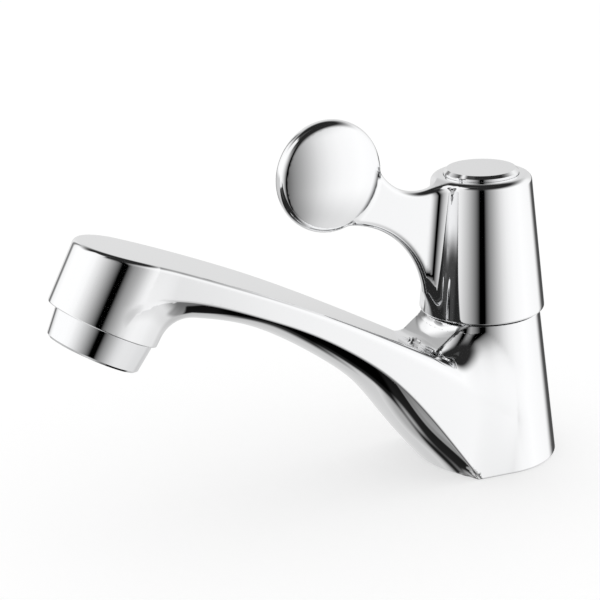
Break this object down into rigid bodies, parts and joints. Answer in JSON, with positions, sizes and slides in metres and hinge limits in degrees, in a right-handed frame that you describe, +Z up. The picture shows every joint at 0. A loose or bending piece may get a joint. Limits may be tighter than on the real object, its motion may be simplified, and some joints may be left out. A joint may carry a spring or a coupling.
{
  "type": "lever basin tap",
  "caption": "Deck-standing basin tap: tapered column, flat-topped rising spout with a tilted jet former, and a quarter-turn lever with a round finger disc.",
  "frame": {"origin": "centre of the column's round foot, on the flat face that stands on the basin", "axes": "+Z up along the column and the lever's axis; the spout and the resting lever point to -X; Y is across, and the fixed parts are alike on both sides of it"},
  "size_m": [0.1627, 0.046, 0.1135],
  "materials": {
    "chrome_body": "polished chrome plate on a brass casting",
    "chrome_handle": "polished chrome plate on a zinc casting",
    "chrome_button": "polished chrome plate on a plastic cap",
    "chrome_ring": "polished chrome plate on brass",
    "brass": "machined",
    "spring_steel": "plain",
    "steel_screw": "plain",
    "mesh_steel": "punched",
    "seal_rubber": "moulded",
    "fibre": "pressed fibre sheet",
    "slip_plastic": "plain",
    "insert_plastic": "moulded",
    "former_plastic": "moulded",
    "ceramic_white": "lapped ceramic",
    "ceramic_grey": "lapped ceramic"
  },
  "bodies": {
    "tap_body": {"body_casting": "chrome_body", "base_ring": "seal_rubber", "seat_seal": "seal_rubber", "fixed_disc": "ceramic_white", "headwork_housing": "brass", "headwork_gasket": "fibre", "glide_washer": "slip_plastic", "aerator_ring": "chrome_ring", "outlet_grid": "former_plastic", "lower_mesh": "mesh_steel", "jet_diffuser": "former_plastic", "jet_core": "former_plastic", "inlet_mesh": "mesh_steel", "aerator_washer": "seal_rubber"},
    "handle": {"turning_disc": "ceramic_grey", "headwork_stem": "brass", "stem_ring_low": "seal_rubber", "stem_ring_high": "seal_rubber", "stem_clip": "spring_steel", "handle_casting": "chrome_handle", "handle_insert": "insert_plastic", "handle_screw": "steel_screw", "index_button": "chrome_button"}
  },
  "joints": [
    {"name": "handle_turn", "type": "hinge", "parent": "tap_body", "child": "handle", "pos_m": [0, 0, 0.05], "axis": [0, 0, 1], "range_deg": [0, 90]}
  ]
}
